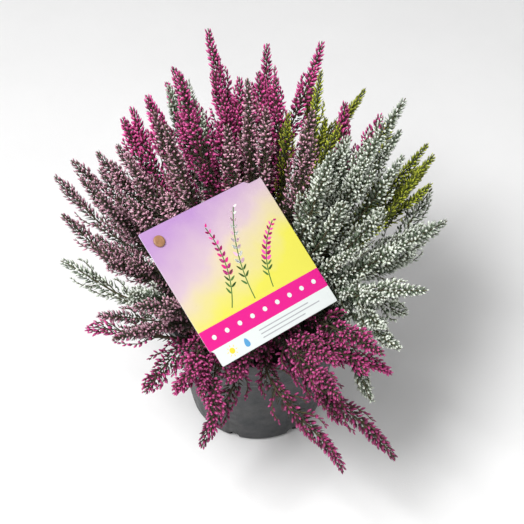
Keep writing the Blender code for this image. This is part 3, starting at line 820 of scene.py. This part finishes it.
def leafy_shoots(growth, stem, style, draw):
    """Short green shoots round the foot of a stem, which close the plant over the soil."""
    colours = leaf_shades(style)
    for number in range(LEAFY_SHOOTS):
        foot = line_at(stem, -ROOT_DEPTH, draw.uniform(0.003, 0.026))
        azimuth = number * GOLDEN_ANGLE + draw.uniform(-0.4, 0.4)
        span = draw.uniform(0.026, 0.044)
        part = np.linspace(0.0, 1.0, 9)[:, None]
        outward = np.array([math.cos(azimuth), math.sin(azimuth), 0.0])
        rise = draw.uniform(0.55, 0.95)
        line = foot + outward * span * 0.85 * part**0.9 * (1.0 - 0.35 * part)
        line = line + np.array([0.0, 0.0, 1.0]) * span * rise * part**1.25
        over_rim = np.clip((np.linalg.norm(line[:, :2], axis=1) - 0.044) / 0.008, 0.0, 1.0)
        line[:, 2] = np.maximum(line[:, 2], line[:, 2] + (POT_HEIGHT + 0.005 - line[:, 2]) * over_rim)
        frames = frames_along(line)
        growth.stem(line, 0.0006, 0.0003, GREEN_STEM)
        step = span / (len(line) - 1)
        spots = np.arange(0.004, span, LEAF_STEP)
        grow_ring(
            growth, line, frames, 0.0, spots, colours, LEAF, SHOOT_LEAF, 50.0, 0.0003, draw, 1, step=step
        )


def droop_shade_of(spray):
    """How bright a spray's flowers are: those that droop over the rim at the front are darkened to deep
    burgundy, as painted shade.
    """
    if spray["colour"] != "magenta":
        return np.ones(3)
    rho, azimuth, _, _ = spray["spot"]
    droop = facing(azimuth, DROOP_CENTRE, DROOP_WIDTH) * smooth((rho - 0.50) / 0.4)
    return 1.0 - droop * np.array([0.52, 0.60, 0.54])


def dress_spray(spray, number):
    draw = np.random.default_rng(SEED * 1000 + number)
    style = STYLE[spray["colour"]]
    growth = Growth()
    # A random tone for the spray, times painted shade on magenta sprays that droop at the front
    tone_and_shade = droop_shade_of(spray) * draw.uniform(0.86, 1.14)
    stem, twig = (-ROOT_DEPTH, MAIN_FLORETS, STEM_RADIUS), (SIDE_FORK, SIDE_FLORETS, TWIG_RADIUS)
    for index, spike in enumerate(spray["spikes"]):
        spike_growth(growth, spike, *(twig if index else stem), style, tone_and_shade, draw)
    leafy_shoots(growth, spray["spikes"][0]["line"], style, draw)
    name = "heather_" + spray["name"]
    materials = [tinted_material("bark", 0.80, 900.0), tinted_material("leaves", 0.60, 1500.0)]
    materials.append(tinted_material("buds_" + spray["colour"], 0.62, 1800.0))
    piece = bpy.data.objects.new(name, growth.mesh(name, materials))
    settle(piece, spray["name"])


def link(obj):
    bpy.context.scene.collection.objects.link(obj)


def settle(piece, node_name):
    """Puts a piece in the scene, in place of its node."""
    if not piece.users_collection:
        link(piece)
    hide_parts(node_name)
    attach(piece, "root")


# Materials


def new_shader(name, roughness):
    material = bpy.data.materials.new(name)
    material.use_nodes = True
    shader = material.node_tree.nodes["Principled BSDF"]
    shader.inputs["Roughness"].default_value = roughness
    return material, material.node_tree, shader


def node(tree, kind, **inputs):
    """A node with its sockets set by name, or joined if the value is another node's output."""
    made = tree.nodes.new(kind)
    for name, value in inputs.items():
        connect(tree, value, made.inputs[name.replace("_", " ")])
    return made


def connect(tree, value, socket):
    if isinstance(value, bpy.types.NodeSocket):
        tree.links.new(value, socket)
    elif isinstance(value, tuple) and len(value) == 3 and socket.type == "RGBA":
        socket.default_value = (*value, 1.0)
    else:
        socket.default_value = value


def mix(tree, factor, first, second, blend="MIX"):
    """Two colours mixed by a factor."""
    made = tree.nodes.new("ShaderNodeMix")
    made.data_type = "RGBA"
    made.blend_type = blend
    for socket, value in ((0, factor), (6, first), (7, second)):
        connect(tree, value, made.inputs[socket])
    return made.outputs[2]


def place_of(tree):
    return node(tree, "ShaderNodeTexCoord").outputs["Object"]


def noise(tree, scale, detail=4.0, roughness=0.6):
    made = node(
        tree, "ShaderNodeTexNoise", Vector=place_of(tree), Scale=scale, Detail=detail, Roughness=roughness
    )
    return made.outputs["Fac"]


def arithmetic(tree, operation, *values):
    """The result of a math node on some values."""
    made = tree.nodes.new("ShaderNodeMath")
    made.operation = operation
    for socket, value in zip(made.inputs, values):
        connect(tree, value, socket)
    return made.outputs[0]


def ramp(tree, value, low, high, to_low=0.0, to_high=1.0):
    made = node(
        tree, "ShaderNodeMapRange", Value=value, From_Min=low, From_Max=high, To_Min=to_low, To_Max=to_high
    )
    return made.outputs["Result"]


def grey(tree, level):
    return node(tree, "ShaderNodeCombineColor", Red=level, Green=level, Blue=level).outputs["Color"]


def bump(tree, shader, height, distance, strength=1.0):
    made = node(tree, "ShaderNodeBump", Height=height, Distance=distance, Strength=strength)
    tree.links.new(made.outputs["Normal"], shader.inputs["Normal"])


def tinted_material(name, roughness, grain, depth=0.0002, spread=0.25):
    """Colour from the mesh, mottled by a fine grain that also roughens the surface."""
    if name in bpy.data.materials:
        return bpy.data.materials[name]
    material, tree, shader = new_shader(name, roughness)
    tint = tree.nodes.new("ShaderNodeVertexColor")
    tint.layer_name = "Tint"
    fine = noise(tree, grain)
    mottle = grey(tree, ramp(tree, fine, 0.25, 0.75, 1.0 - spread, 1.0 + spread))
    tree.links.new(mix(tree, 1.0, tint.outputs["Color"], mottle, "MULTIPLY"), shader.inputs["Base Color"])
    worn = ramp(tree, fine, 0.2, 0.8, roughness - 0.12, roughness + 0.12)
    tree.links.new(worn, shader.inputs["Roughness"])
    bump(tree, shader, fine, depth)
    return material


def pot_material():
    """Dark moulded plastic with a fine grain, faint turned marks, scuffs and some dust."""
    material, tree, shader = new_shader("pot_plastic", 0.45)
    dust = ramp(tree, noise(tree, 55.0, 8.0, 0.65), 0.48, 0.78, 0.0, 0.50)
    colour = mix(tree, dust, (0.022, 0.024, 0.027), (0.085, 0.080, 0.073))
    scuffs = ramp(tree, noise(tree, 900.0, 5.0, 0.8), 0.62, 0.74, 0.0, 0.35)
    tree.links.new(mix(tree, scuffs, colour, (0.11, 0.11, 0.11)), shader.inputs["Base Color"])
    wear = noise(tree, 160.0, 6.0, 0.6)
    tree.links.new(ramp(tree, wear, 0.3, 0.75, 0.32, 0.60), shader.inputs["Roughness"])
    split = node(tree, "ShaderNodeSeparateXYZ", Vector=place_of(tree)).outputs
    rings = arithmetic(tree, "SINE", arithmetic(tree, "MULTIPLY", split["Z"], 5200.0))
    grain = noise(tree, 2400.0, 3.0, 0.5)
    bump(tree, shader, arithmetic(tree, "MULTIPLY_ADD", rings, 0.06, grain), 0.00012)
    return material


def card_material():
    """Satin printed card: lilac that fades to yellow down the card, a magenta band and a pale foot."""
    material, tree, shader = new_shader("card_print", 0.35)
    split = node(tree, "ShaderNodeSeparateXYZ", Vector=place_of(tree)).outputs
    half = CARD_SIDE / 2
    down = ramp(tree, split["Y"], -half, half)
    over = ramp(tree, split["X"], -half, half)
    cloud = ramp(tree, noise(tree, 38.0, 3.0, 0.5), 0.3, 0.7, -0.08, 0.08)
    lean = arithmetic(tree, "MULTIPLY_ADD", over, 0.35, down)
    shifted = arithmetic(tree, "ADD", lean, cloud)
    field = mix(tree, ramp(tree, shifted, 0.10, 0.55), CARD_LILAC, CARD_CREAM)
    field = mix(tree, ramp(tree, shifted, 0.45, 0.85), field, CARD_YELLOW)
    inks = ((down, BAND[0], CARD_MAGENTA), (down, BAND[1], CARD_WHITE), (split["Z"], 0.0, CARD_WHITE))
    for value, level, ink in inks:
        field = mix(tree, arithmetic(tree, "GREATER_THAN", value, level), field, ink)
    tree.links.new(field, shader.inputs["Base Color"])
    fine = noise(tree, 700.0, 3.0, 0.5)
    tree.links.new(ramp(tree, fine, 0.2, 0.8, 0.26, 0.42), shader.inputs["Roughness"])
    bump(tree, shader, fine, 0.00003)
    return material


# Pot, soil, label and stick


def lathe(name, outline, steps, materials):
    """An outline of (radius, height) turned round Z."""
    turns = np.arange(steps) * math.tau / steps
    work = bmesh.new()
    rings = []
    for radius, height in outline:
        if radius < 1e-6:
            rings.append([work.verts.new((0.0, 0.0, height))])
        else:
            ring = [(radius * math.cos(t), radius * math.sin(t), height) for t in turns]
            rings.append([work.verts.new(point) for point in ring])
    for low, high in zip(rings, rings[1:]):
        for i in range(steps):
            j = (i + 1) % steps
            corners = [low[i % len(low)], low[j % len(low)], high[j % len(high)], high[i % len(high)]]
            corners = list(dict.fromkeys(corners))
            if len(corners) > 2:
                work.faces.new(corners)
    bmesh.ops.recalc_face_normals(work, faces=work.faces)
    mesh = bpy.data.meshes.new(name)
    work.to_mesh(mesh)
    work.free()
    for material in materials:
        mesh.materials.append(material)
    mesh.shade_smooth()
    mesh.set_sharp_from_angle(angle=math.radians(50))
    return bpy.data.objects.new(name, mesh)


def arrays_of(mesh):
    """A mesh's points and triangles, as arrays."""
    mesh.calc_loop_triangles()
    points = np.array([tuple(vertex.co) for vertex in mesh.vertices])
    return points, np.array([tuple(triangle.vertices) for triangle in mesh.loop_triangles])


def rounded(points, radius, steps=3):
    """An outline with its inner corners rounded by short arcs."""
    done = [tuple(points[0])]
    for before, here, after in zip(points, points[1:], points[2:]):
        before, here, after = Vector(before), Vector(here), Vector(after)
        trim = min(radius, (before - here).length * 0.45, (after - here).length * 0.45)
        start = here + (before - here).normalized() * trim
        end = here + (after - here).normalized() * trim
        for number in range(steps + 1):
            part = number / steps
            done.append(tuple(start.lerp(here, part).lerp(here.lerp(end, part), part)))
    done.append(tuple(points[-1]))
    return done


def dress_pot():
    """The pot in a fine turned shape, with a drain notch at its foot wherever the solid has one."""
    under_lip = POT_HEIGHT - LIP_DEPTH
    above = SHOULDER_HEIGHT + SHOULDER_RISE
    outline = pot_inside(0.0)
    outline += [
        (wall_radius(POT_HEIGHT) - POT_WALL, POT_HEIGHT),
        (LIP_RADIUS, POT_HEIGHT),
        (LIP_RADIUS, under_lip),
        (wall_radius(under_lip), under_lip),
        (wall_radius(above), above),
        (wall_radius(SHOULDER_HEIGHT), SHOULDER_HEIGHT),
        (wall_radius(POT_EDGE), POT_EDGE),
        (wall_radius(0.0) - POT_EDGE, 0.0),
        (0.0, 0.0),
    ]
    pot = lathe("nursery_pot", rounded(outline, 0.0007), POT_STEPS, [pot_material()])
    link(pot)
    cutters = []
    for number in range(DRAIN_HOLES):
        angle = math.tau * (number + 0.5) / DRAIN_HOLES
        middle = sum(DRAIN_REACH) / 2
        length = DRAIN_REACH[1] - DRAIN_REACH[0]
        cutter = lathe("drain", [(0, 0), (DRAIN_RADIUS, 0), (DRAIN_RADIUS, length), (0, length)], 20, [])
        turn = Matrix.Rotation(angle, 4, "Z") @ Matrix.Rotation(math.pi / 2, 4, "Y")
        spot = Vector((middle * math.cos(angle), middle * math.sin(angle), DRAIN_CENTRE))
        cutter.matrix_world = Matrix.Translation(spot) @ turn @ Matrix.Translation((0, 0, -length / 2))
        link(cutter)
        cut = pot.modifiers.new("Drain", "BOOLEAN")
        cut.operation = "DIFFERENCE"
        cut.object = cutter
        cutters.append(cutter)
    apply_modifiers(pot)
    for cutter in cutters:
        bpy.data.objects.remove(cutter)
    settle(pot, "pot")


def apply_modifiers(obj):
    bpy.context.view_layer.update()
    graph = bpy.context.evaluated_depsgraph_get()
    made = bpy.data.meshes.new_from_object(obj.evaluated_get(graph))
    obj.modifiers.clear()
    obj.data = made


def dress_soil():
    """Peat as a rough mound over a plain root ball, with crumbs, fibres and fallen buds on it."""
    draw = np.random.default_rng(SEED)
    rim = wall_radius(SOIL_EDGE_HEIGHT) - POT_WALL - GAP
    growth = Growth()
    ball = [(0.0, POT_FLOOR + GAP)] + pot_inside(GAP)[1:] + [(rim, SOIL_EDGE_HEIGHT - 0.001)]
    outline = ball + [(radius, soil_height(radius)) for radius in np.linspace(rim - 0.0004, 0.0, 44)]
    soil = lathe("peat", outline, 120, [])
    points, triangles = arrays_of(soil.data)
    radius = np.hypot(points[:, 0], points[:, 1])
    top = (points[:, 2] > SOIL_EDGE_HEIGHT - 0.0005) & (radius < rim - 0.0008)
    x, y = points[top, 0], points[top, 1]
    waves = np.sin(x * 410 + 2.0 * np.sin(y * 260)) * np.sin(y * 380 + 1.7 * np.sin(x * 300))
    points[top, 2] += 0.0009 * waves + draw.uniform(-0.0006, 0.0006, top.sum())
    shade = draw.uniform(0.5, 1.3, len(points))[:, None]
    growth.add(points, triangles, np.array(SOIL_DARK) * shade, 0)
    bpy.data.objects.remove(soil)

    def scattered(count, reach=0.97):
        spread = rim * reach * np.sqrt(draw.uniform(0.0, 1.0, count))
        turn = draw.uniform(0.0, math.tau, count)
        height = np.array([soil_height(r) for r in spread])
        return np.stack([spread * np.cos(turn), spread * np.sin(turn), height], axis=1)

    def headings(count, rise):
        ways = draw.normal(size=(count, 3))
        ways[:, 2] *= rise
        return unit(ways)

    size = draw.uniform(0.0008, 0.0026, CRUMBS)
    colours = np.array([SOIL_DARK, SOIL_LIGHT, SOIL_LIGHT])[None] * draw.uniform(0.4, 1.5, (CRUMBS, 1, 1))
    growth.copies(CRUMB, scattered(CRUMBS), headings(CRUMBS, 0.6), size, size * 0.55, colours, 0)
    for spot, way in zip(scattered(FIBRES, 0.9), headings(FIBRES, 0.25)):
        part = np.linspace(-0.5, 0.5, 6)[:, None]
        span = draw.uniform(0.004, 0.011)
        bow = np.array([0.0, 0.0, 0.0012]) - across(way[None]) * 0.0015 * draw.uniform(-1.0, 1.0)
        line = spot + way * part * span + bow * (1.0 - (2.0 * part) ** 2) + np.array([0.0, 0.0, 0.0008])
        radius = draw.uniform(0.00012, 0.00028)
        growth.stem(line, radius, radius, FIBRE)
    for style in STYLE.values():
        tints = bud_shades(style)[None] * draw.uniform(0.2, 0.7, (FALLEN, 1, 1))
        lengths, widths = np.full(FALLEN, style["size"][0]), np.full(FALLEN, style["size"][1])
        spots = scattered(FALLEN) + np.array([0.0, 0.0, 0.0009])
        growth.copies(BUD, spots, headings(FALLEN, 0.25), lengths, widths, tints, 1)
    materials = [tinted_material("peat", 0.92, 1500.0, 0.0007, 0.5)]
    materials.append(tinted_material("buds_fallen", 0.7, 1800.0))
    piece = bpy.data.objects.new("peat_soil", growth.mesh("peat_soil", materials))
    settle(piece, "soil")


def flat_shape(growth, corners, colour, lift=INK_LIFT):
    """A flat printed shape on the card's face, as a fan of triangles."""
    corners = np.array(corners, float)
    points = np.column_stack([corners, np.full(len(corners), -CARD_THICKNESS / 2 - lift)])
    middle = points.mean(axis=0, keepdims=True)
    count = len(points)
    side = np.arange(count)
    fan = np.stack([np.full(count, count), (side + 1) % count, side], axis=1)
    growth.add(np.concatenate([points, middle]), fan, np.tile(colour, (count + 1, 1)), 1)


def oval(centre, way, long, wide, steps=12, narrowed=0.35):
    """Corners of an oval that narrows towards one end, unless narrowed is 0."""
    turns = np.arange(steps) * math.tau / steps
    along, side = np.cos(turns), np.sin(turns) * (1.0 - narrowed * np.cos(turns))
    way = np.array(way) / math.hypot(*way)
    return np.array(centre) + np.outer(along * long, way) + np.outer(side * wide, (-way[1], way[0]))


def round_mark(centre, radius):
    return oval(centre, (1.0, 0.0), radius, radius, 20, 0.0)


def print_sprig(growth, foot, tip, bow, buds, colours):
    """A plain drawn sprig: a bowed stem, leaves at its foot and rows of buds up to its tip."""
    chord = tip - foot
    side = np.array([-chord[1], chord[0]])
    part = np.linspace(0.0, 1.0, 14)[:, None]
    line = foot + chord * part + side * bow * 4.0 * part * (1.0 - part)
    ways = np.gradient(line, axis=0)
    ways /= np.linalg.norm(ways, axis=1, keepdims=True)
    across_line = np.column_stack([-ways[:, 1], ways[:, 0]]) * SPRIG_HALF
    for i in range(len(line) - 1):
        corners = [line[i] - across_line[i], line[i + 1] - across_line[i + 1]]
        corners += [line[i + 1] + across_line[i + 1], line[i] + across_line[i]]
        flat_shape(growth, corners, PRINT_GREEN)
    last = len(line) - 1
    for number in range(buds):
        part = 0.22 + 0.78 * number / (buds - 1)
        here = min(int(part * last), last)
        spot, way = line[here], ways[here]
        hand = 1.0 if number % 2 else -1.0
        out = way + hand * np.array([-way[1], way[0]]) * 0.9
        size = 0.0021 * (1.15 - 0.6 * part)
        leaf = part < 0.40
        colour = PRINT_GREEN if leaf else colours[number % len(colours)]
        shape = oval(spot + out * size, out, size, size * (0.28 if leaf else 0.5))
        flat_shape(growth, shape, colour, BUD_LIFT)


def dress_card():
    """The printed card with rounded edges and its pierced corner, and a plain print on its face."""
    centre, along, down, face = card_frame()
    curve = bpy.data.curves.new("card_outline", "CURVE")
    curve.dimensions = "2D"
    curve.fill_mode = "BOTH"
    curve.bevel_depth = CARD_BEVEL
    curve.bevel_resolution = 2
    curve.offset = -CARD_BEVEL
    curve.extrude = CARD_THICKNESS / 2 - CARD_BEVEL
    corners = card_outline()
    loop = rounded([corners[-1], *corners, corners[0]], 0.0009)[1:-1]
    inset = CARD_SIDE / 2 - PEG_INSET
    turns = [math.tau * number / 32 for number in range(32)]
    radius = PEG_RADIUS + PEG_PLAY
    hole = [(radius * math.cos(t) - inset, radius * math.sin(t) - inset) for t in turns]
    for points in (loop, hole):
        spline = curve.splines.new("POLY")
        spline.points.add(len(points) - 1)
        spline.points.foreach_set("co", [c for x, y in points for c in (x, y, 0.0, 1.0)])
        spline.use_cyclic_u = True
    guide = bpy.data.objects.new("card_outline", curve)
    link(guide)
    graph = bpy.context.evaluated_depsgraph_get()
    sheet = bpy.data.meshes.new_from_object(guide.evaluated_get(graph))
    bpy.data.objects.remove(guide)
    growth = Growth()
    points, triangles = arrays_of(sheet)
    growth.add(points, triangles, np.ones_like(points), 0)
    print_design(growth)
    ink = tinted_material("card_ink", 0.35, 700.0, 0.00003, 0.05)
    mesh = growth.mesh("plant_label_card", [card_material(), ink])
    mesh.set_sharp_from_angle(angle=math.radians(35))
    card = bpy.data.objects.new("plant_label_card", mesh)
    turn = Matrix((along, down, along.cross(down))).transposed().to_4x4()
    card.matrix_world = Matrix.Translation(centre) @ turn
    settle(card, "label_card")


def print_design(growth):
    """Three sprigs on the coloured field, pale dots on the band, and sun, drop and lines on the foot."""
    side = CARD_SIDE
    for foot, tip, bow, buds, colours in SPRIGS:
        print_sprig(growth, np.array(foot) * side, np.array(tip) * side, bow, buds, colours)
    middle = (sum(BAND) / 2 - 0.5) * side
    for number in range(DOTS):
        x = (number - DOTS // 2) * 0.105 * side
        flat_shape(growth, round_mark((x, middle), DOT_RADIUS), CARD_WHITE)
    foot = ((1.0 + BAND[1]) / 2 - 0.5) * side
    sun = (-0.36 * side, foot)
    flat_shape(growth, round_mark(sun, SUN_RADIUS), CARD_YELLOW_INK)
    for number in range(SUN_RAYS):
        turn = number * math.tau / SUN_RAYS
        way = (math.cos(turn), math.sin(turn))
        spot = (sun[0] + way[0] * RAY_DISTANCE, sun[1] + way[1] * RAY_DISTANCE)
        flat_shape(growth, oval(spot, way, *RAY_SIZE, 8), CARD_YELLOW_INK)
    flat_shape(growth, oval((-0.24 * side, foot), (0.0, -1.0), *DROP_SIZE, 20), PRINT_BLUE)
    start = -0.12 * side
    for number, length in enumerate(RULE_LENGTHS):
        end = start + length * side
        low = foot + (number - 1) * RULE_PITCH - RULE_HALF
        high = low + 2.0 * RULE_HALF
        flat_shape(growth, [(start, low), (end, low), (end, high), (start, high)], PRINT_GREY)


def dress_stick():
    """The flat grooved stick with its point in the soil, and the peg that holds the card."""
    foot, head = stick_ends()
    face = card_frame()[3]
    way = (head - foot).normalized()
    turn = way.to_track_quat("Z", "Y").to_matrix()
    growth = Growth()
    w, t = STICK_WIDTH / 2, STICK_THICKNESS / 2
    profile = [(-w, -t), (-0.45 * w, -t), (0.0, -0.55 * t), (0.45 * w, -t), (w, -t)]
    profile += [(w, t), (0.45 * w, t), (0.0, 0.55 * t), (-0.45 * w, t), (-w, t)]
    loop = rounded([profile[-1], *profile, profile[0]], 0.0004, 2)[1:-1]
    length = (head - foot).length
    rows = [(0.0, 0.12), (0.006, 0.6), (0.012, 1.0)]
    rows += [(h, 1.0) for h in np.linspace(0.02, length - 0.0006, 16)] + [(length, 0.93)]
    points = [foot + turn @ Vector((x * s, y * s, h)) for h, s in rows for x, y in loop]
    count = len(loop)
    side = np.arange(count)
    triangles = between_rings(len(rows), count)
    for base, order in ((0, -1), ((len(rows) - 1) * count, 1)):
        cap = np.stack([np.full(count - 2, base), base + side[1:-1], base + side[2:]], axis=1)
        triangles.append(cap[:, ::order])
    brown = np.tile(STICK_BROWN, (len(points), 1))
    growth.add(np.array([tuple(p) for p in points]), np.concatenate(triangles), brown, 0)
    peg = CARD_THICKNESS + 2 * GAP
    top = PAD_THICKNESS + peg + PEG_HEAD_HEIGHT
    outline = [(0.0, 0.0), (PAD_RADIUS, 0.0), (PAD_RADIUS, PAD_THICKNESS)]
    outline += [(PEG_RADIUS - GAP, PAD_THICKNESS), (PEG_RADIUS - GAP, PAD_THICKNESS + peg)]
    outline.append((PEG_HEAD_RADIUS, PAD_THICKNESS + peg))
    outline += [(PEG_HEAD_RADIUS, top - 0.0004), (PEG_HEAD_RADIUS * 0.72, top), (0.0, top - 0.0003)]
    button = lathe("peg", rounded(outline, 0.00035), 40, [])
    turn = face.to_track_quat("Z", "Y")
    points, triangles = arrays_of(button.data)
    points = np.array([tuple(head + turn @ Vector(point)) for point in points])
    growth.add(points, triangles, np.tile(STICK_BROWN, (len(points), 1)), 0)
    bpy.data.objects.remove(button)
    mesh = growth.mesh("plant_label_stick", [tinted_material("stick_plastic", 0.48, 420.0, 0.00006, 0.3)])
    mesh.set_sharp_from_angle(angle=math.radians(40))
    settle(bpy.data.objects.new("plant_label_stick", mesh), "label_stick")


# Stage, lights and camera


def make_stage():
    """A pale floor that curves up far away all round."""
    bend = [(STAGE_FLAT + math.sin(a), 1.0 - math.cos(a)) for a in np.linspace(0.0, math.pi / 2, 12)]
    outline = [(0.0, 0.0), (0.4, 0.0), (1.0, 0.0), *bend, (STAGE_FLAT + 1.0, 3.5)]
    material, tree, shader = new_shader("pale_floor", 0.8)
    shade = grey(tree, ramp(tree, noise(tree, 5.0), 0.3, 0.7, 0.83, 0.87))
    tree.links.new(shade, shader.inputs["Base Color"])
    bump(tree, shader, noise(tree, 900.0), 0.0001)
    floor = lathe("floor", outline, 96, [material])
    floor.data.flip_normals()
    link(floor)


def look_from(azimuth, elevation):
    a, e = math.radians(azimuth), math.radians(elevation)
    return Vector((math.sin(a) * math.cos(e), -math.cos(a) * math.cos(e), math.sin(e)))


def add_light(name, azimuth, elevation, distance, size, power):
    """A soft square light that looks at the plant from an azimuth and elevation."""
    lamp = bpy.data.lights.new(name, "AREA")
    lamp.size = size
    lamp.energy = power
    obj = bpy.data.objects.new(name, lamp)
    back = look_from(azimuth, elevation)
    obj.location = Vector(LIGHT_TARGET) + back * distance
    obj.rotation_euler = (-back).to_track_quat("-Z", "Y").to_euler()
    link(obj)


def make_lights():
    add_light("key", *KEY_LIGHT)
    add_light("fill", *FILL_LIGHT)
    world = bpy.data.worlds.new("studio")
    world.use_nodes = True
    background = world.node_tree.nodes["Background"]
    background.inputs["Color"].default_value = (1.0, 1.0, 1.0, 1.0)
    background.inputs["Strength"].default_value = WORLD_STRENGTH
    bpy.context.scene.world = world


def make_camera():
    camera = bpy.data.cameras.new("camera")
    camera.lens = 100.0
    camera.sensor_width = 36.0
    obj = bpy.data.objects.new("camera", camera)
    near = view_axes()[2]
    obj.location = Vector(CAMERA_TARGET) + near * CAMERA_DISTANCE
    obj.rotation_euler = (-near).to_track_quat("-Z", "Y").to_euler()
    link(obj)
    bpy.context.scene.camera = obj
    bpy.context.scene.view_settings.view_transform = "Standard"


def main():
    make_camera()
    for number, spray in enumerate(planting()):
        dress_spray(spray, number)
    dress_pot()
    dress_soil()
    dress_card()
    dress_stick()
    make_stage()
    make_lights()


main()
